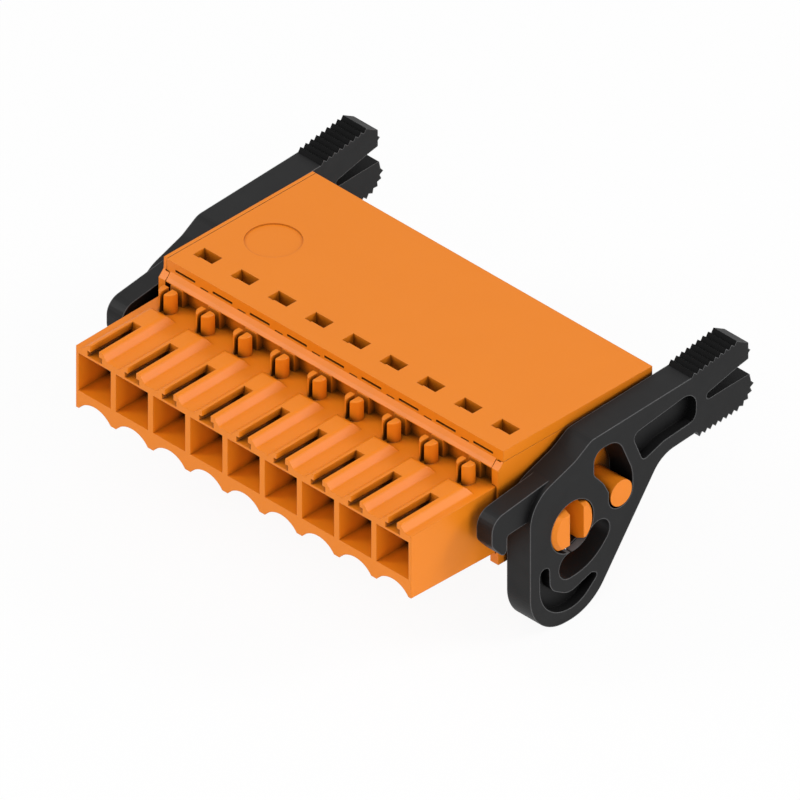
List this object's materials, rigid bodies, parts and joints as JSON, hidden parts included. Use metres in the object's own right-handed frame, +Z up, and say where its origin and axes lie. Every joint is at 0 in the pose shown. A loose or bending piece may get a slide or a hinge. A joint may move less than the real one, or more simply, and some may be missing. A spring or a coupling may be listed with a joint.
{
  "type": "pluggable terminal block",
  "caption": "Pluggable terminal block with push-in wire clamps, one row of poles and a release lever at each end.",
  "frame": {"origin": "middle of the pole row on the mating face, level with the levers' pivots", "axes": "X along the pole row, -Y out of the mating face, +Z up through the top slab"},
  "size_m": [0.0374, 0.0295, 0.0149],
  "materials": {
    "orange": "satin",
    "black": "satin",
    "tin": "satin",
    "steel": "satin",
    "ivory": "satin"
  },
  "bodies": {
    "root": {"housing": "orange", "left_end_plate": "orange", "right_end_plate": "orange", "contact_1": "tin", "contact_2": "tin", "contact_3": "tin", "contact_4": "tin", "contact_5": "tin", "contact_6": "tin", "contact_7": "tin", "contact_8": "tin", "contact_9": "tin", "clamp_spring_1": "steel", "clamp_spring_2": "steel", "clamp_spring_3": "steel", "clamp_spring_4": "steel", "clamp_spring_5": "steel", "clamp_spring_6": "steel", "clamp_spring_7": "steel", "clamp_spring_8": "steel", "clamp_spring_9": "steel"},
    "left_lever": {"left_lever": "black"},
    "right_lever": {"right_lever": "black"},
    "pusher_1": {"pusher_1": "ivory"},
    "pusher_2": {"pusher_2": "ivory"},
    "pusher_3": {"pusher_3": "ivory"},
    "pusher_4": {"pusher_4": "ivory"},
    "pusher_5": {"pusher_5": "ivory"},
    "pusher_6": {"pusher_6": "ivory"},
    "pusher_7": {"pusher_7": "ivory"},
    "pusher_8": {"pusher_8": "ivory"},
    "pusher_9": {"pusher_9": "ivory"}
  },
  "joints": [
    {"name": "left_lever_swing", "type": "hinge", "parent": "root", "child": "left_lever", "pos_m": [-0.01742, 0.0124, 0], "axis": [1, 0, 0], "range_deg": [-40, 0]},
    {"name": "right_lever_swing", "type": "hinge", "parent": "root", "child": "right_lever", "pos_m": [0.01742, 0.0124, 0], "axis": [1, 0, 0], "range_deg": [-40, 0]},
    {"name": "pusher_1_press", "type": "slide", "parent": "root", "child": "pusher_1", "axis": [0, -1, 0], "range_m": [0, 0.001], "stiffness_N_per_m": 2000, "springref_m": -0.0005},
    {"name": "pusher_2_press", "type": "slide", "parent": "root", "child": "pusher_2", "axis": [0, -1, 0], "range_m": [0, 0.001], "stiffness_N_per_m": 2000, "springref_m": -0.0005},
    {"name": "pusher_3_press", "type": "slide", "parent": "root", "child": "pusher_3", "axis": [0, -1, 0], "range_m": [0, 0.001], "stiffness_N_per_m": 2000, "springref_m": -0.0005},
    {"name": "pusher_4_press", "type": "slide", "parent": "root", "child": "pusher_4", "axis": [0, -1, 0], "range_m": [0, 0.001], "stiffness_N_per_m": 2000, "springref_m": -0.0005},
    {"name": "pusher_5_press", "type": "slide", "parent": "root", "child": "pusher_5", "axis": [0, -1, 0], "range_m": [0, 0.001], "stiffness_N_per_m": 2000, "springref_m": -0.0005},
    {"name": "pusher_6_press", "type": "slide", "parent": "root", "child": "pusher_6", "axis": [0, -1, 0], "range_m": [0, 0.001], "stiffness_N_per_m": 2000, "springref_m": -0.0005},
    {"name": "pusher_7_press", "type": "slide", "parent": "root", "child": "pusher_7", "axis": [0, -1, 0], "range_m": [0, 0.001], "stiffness_N_per_m": 2000, "springref_m": -0.0005},
    {"name": "pusher_8_press", "type": "slide", "parent": "root", "child": "pusher_8", "axis": [0, -1, 0], "range_m": [0, 0.001], "stiffness_N_per_m": 2000, "springref_m": -0.0005},
    {"name": "pusher_9_press", "type": "slide", "parent": "root", "child": "pusher_9", "axis": [0, -1, 0], "range_m": [0, 0.001], "stiffness_N_per_m": 2000, "springref_m": -0.0005}
  ]
}
